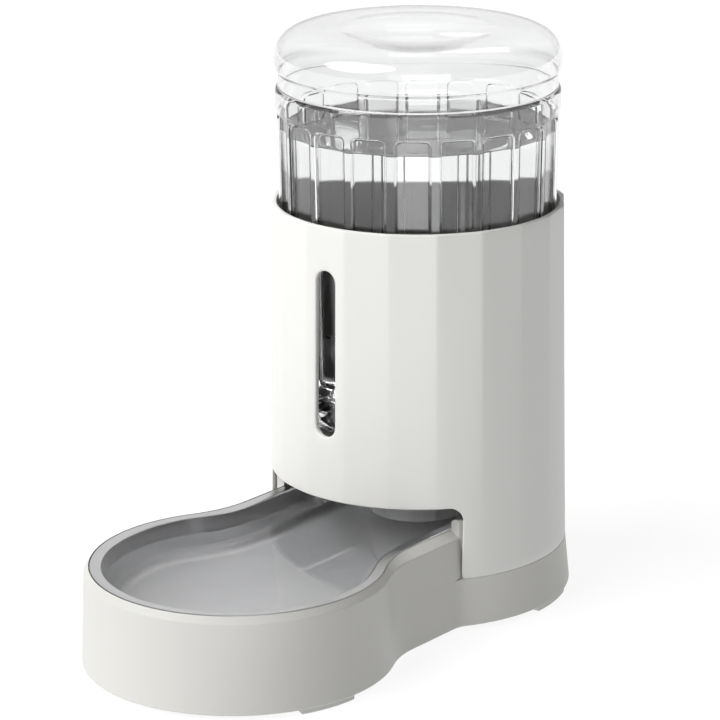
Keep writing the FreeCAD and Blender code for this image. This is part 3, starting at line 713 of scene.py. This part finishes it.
def bowl_water():
    """The water in the bowl, up to the level that the bottle's mouth keeps."""
    made = Surface()
    section = [(d - BOWL_SINK, z - (BOWL_SINK if z < HEEL_Z else 0))
               for d, z in bowl_section() if z < BOWL_WATER_Z - 1]
    wall_top = FLANGE_Z - ROLL
    wall_in = HEEL_IN * (wall_top - BOWL_WATER_Z) / (wall_top - HEEL_Z) - BOWL_SINK
    edge = [(wall_in, BOWL_WATER_Z), (wall_in + 0.35, BOWL_WATER_Z - 0.35),
            (wall_in + 1.0, BOWL_WATER_Z - 0.6), (wall_in + 2.2, BOWL_WATER_Z - 0.75)]
    made.rows([at_height(keyhole(inset(MOUTH_LINE, d)), z) for d, z in list(reversed(edge)) + section])
    inner = floor_points(keyhole(inset(MOUTH_LINE, SOLE_IN + 1.8)))
    made.fill(keyhole(inset(MOUTH_LINE, SOLE_IN - BOWL_SINK)), inner,
              lambda p: (p[0], p[1], bowl_floor(p[0], p[1]) - BOWL_SINK))
    level_in, level = edge[-1]
    made.fill(keyhole(inset(MOUTH_LINE, level_in)), [], lambda p: (p[0], p[1], level))
    return place(made.points, "bowl_water", made.faces, 40.0)


finish_piece(bowl_water(), WATER, "bowl", "")


# ---------------------------------------------------------------- CAD nodes that stay
def dress(mat, *names):
    """Gives CAD meshes a material."""
    for name in names:
        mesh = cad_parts[name].data
        mesh.materials.clear()
        mesh.materials.append(mat)


dress(OFF_WHITE, "base_shell", "tank_cradle")
dress(FOOT, *[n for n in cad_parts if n.startswith("foot_")])
dress(CAP_GREY, "tank_cap")
dress(VALVE_WHITE, "valve_insert")
dress(SEAL, "cap_washer", "neck_gasket", "valve_seal", "stem_foot")
dress(ROD, "valve_stem", "valve_spring", "stem_clip")
dress(SCREW, "cradle_screws")


# ---------------------------------------------------------------- floor, light and camera
FLOOR_HALF = 12000.0


def floor():
    """A pale light table, which glows so that shadows on it stay faint."""
    made = Surface()
    ends = (-FLOOR_HALF, FLOOR_HALF)
    made.rows([[(x, y, 0) for x in ends] for y in ends], closed=False)
    obj = place(made.points, "studio_floor", made.faces)
    mat, tree, shader = material("floor_light_table")
    uneven = noise(tree, 3.0)
    for socket, low, high in (("Base Color", 0.14, 0.16), ("Emission Color", 0.87, 0.89)):
        tree.links.new(ramp(tree, uneven, (low,) * 3, (high,) * 3), shader.inputs[socket])
    shader.inputs["Emission Strength"].default_value = 1.0
    shader.inputs["Roughness"].default_value = 0.9
    shader.inputs["Specular IOR Level"].default_value = 0.2
    obj.data.materials.append(mat)


def lamp(name, kind, spot, target, watts, **shape):
    """A lamp at a spot, in metres, that looks at a target."""
    data = bpy.data.lights.new(name, kind)
    data.energy = watts
    for key, value in shape.items():
        setattr(data, key, value)
    obj = bpy.data.objects.new(name, data)
    bpy.context.scene.collection.objects.link(obj)
    obj.location = spot
    obj.rotation_euler = (target - spot).to_track_quat("-Z", "Y").to_euler()
    return obj


def toward(azimuth, height, distance):
    """A place seen from the tower's foot; azimuth 0 is in front and 90 is to the right, in degrees."""
    a, h = radians(azimuth), radians(height)
    return Vector((sin(a) * cos(h), -cos(a) * cos(h), sin(h))) * distance + Vector((0, TOWER_Y * MM, 0))


def lamps():
    """A broad key that shows in no reflection, and a softbox and a floor card near the camera that light
    nothing but reflections. Places are in metres."""
    key = lamp("key", "SUN", toward(*KEY_PLACE, 3.0), Vector((0, 0, 0.15)), KEY_STRENGTH,
               angle=radians(KEY_ANGLE))
    key.visible_glossy = False
    box = lamp("softbox", "AREA", toward(SOFTBOX_TURN, 17, 3.2), Vector((0, TOWER_Y * MM, 0.35)),
               SOFTBOX_WATTS, shape="RECTANGLE", size=2.1, size_y=2.2)
    box.visible_diffuse = False
    card_spot = toward(SOFTBOX_TURN, 0, 0.75) + Vector((0, 0, 0.004))
    card = lamp("floor_card", "AREA", card_spot, card_spot + Vector((0, 0, 1)), CARD_WATTS,
                shape="RECTANGLE", size=0.55, size_y=0.8)
    # it lies face up, square to the softbox
    card.rotation_euler = (pi, 0, radians(SOFTBOX_TURN))
    card.visible_diffuse = False
    card.visible_camera = False


def sky_lobe(tree, direction, azimuth, height, start, end, strength):
    """Brightness of a soft patch of the studio, centred on a direction."""
    a, h = radians(azimuth), radians(height)
    aim = (sin(a) * cos(h), -cos(a) * cos(h), sin(h))
    facing = node(tree, "ShaderNodeVectorMath", operation="DOT_PRODUCT")
    facing.inputs[1].default_value = aim
    tree.links.new(direction, facing.inputs[0])
    soft = node(tree, "ShaderNodeMapRange", interpolation_type="SMOOTHSTEP")
    soft.inputs["From Min"].default_value = cos(radians(end))
    soft.inputs["From Max"].default_value = cos(radians(start))
    soft.inputs["To Max"].default_value = strength
    tree.links.new(facing.outputs["Value"], soft.inputs["Value"])
    return soft.outputs["Result"]


def studio():
    """A dim room with soft bright patches: a backdrop, one above it and one near the camera."""
    world = bpy.data.worlds.new("studio")
    bpy.context.scene.world = world
    world.use_nodes = True
    tree = world.node_tree
    tree.nodes["Background"].inputs["Color"].default_value = (1, 1, 1, 1)
    direction = node(tree, "ShaderNodeTexCoord").outputs["Generated"]
    total = node(tree, "ShaderNodeValue").outputs["Value"]
    total.default_value = ROOM
    for patch in SKY:
        add = node(tree, "ShaderNodeMath", operation="ADD")
        tree.links.new(total, add.inputs[0])
        tree.links.new(sky_lobe(tree, direction, *patch), add.inputs[1])
        total = add.outputs["Value"]
    tree.links.new(total, tree.nodes["Background"].inputs["Strength"])


# azimuth as in toward(), height, inner and outer half angle, all in degrees, and brightness
SKY = (
    (219, 10, 26, 54, 0.80),
    (219, 75, 10, 50, 0.38),
    (43, 20, 10, 30, 0.22),
)
ROOM = 0.02
# the key's place and angle are in degrees too
KEY_PLACE, KEY_ANGLE, KEY_STRENGTH = (-25, 48), 50.0, 3.9
SOFTBOX_TURN, SOFTBOX_WATTS, CARD_WATTS = 45.0, 25.0, 2.8


def camera():
    """Placed from the tower's axis by its turn, tilt, roll and distance, in metres; the focal length is
    in picture widths."""
    turn, tilt, roll = radians(39.086), radians(17.129), radians(-0.296)
    distance, aside, aim_z, focal = 1.93717, -0.03434, 0.13791, 3270.74 / 720
    right = Vector((cos(turn), sin(turn), 0))
    back = Vector((sin(turn) * cos(tilt), -cos(turn) * cos(tilt), sin(tilt)))
    up = back.cross(right)
    spot = Vector((0, TOWER_Y * MM, aim_z)) + right * aside + back * distance
    across = right * cos(roll) + up * sin(roll)
    over = up * cos(roll) - right * sin(roll)
    data = bpy.data.cameras.new("camera")
    data.sensor_width = 36.0
    data.lens = focal * data.sensor_width
    data.clip_end = 100.0
    obj = bpy.data.objects.new("camera", data)
    bpy.context.scene.collection.objects.link(obj)
    turned = Matrix((across, over, back)).transposed().to_4x4()
    turned.translation = spot
    obj.matrix_world = turned
    bpy.context.scene.camera = obj


floor()
studio()
lamps()
camera()
bpy.context.scene.view_settings.view_transform = "Standard"
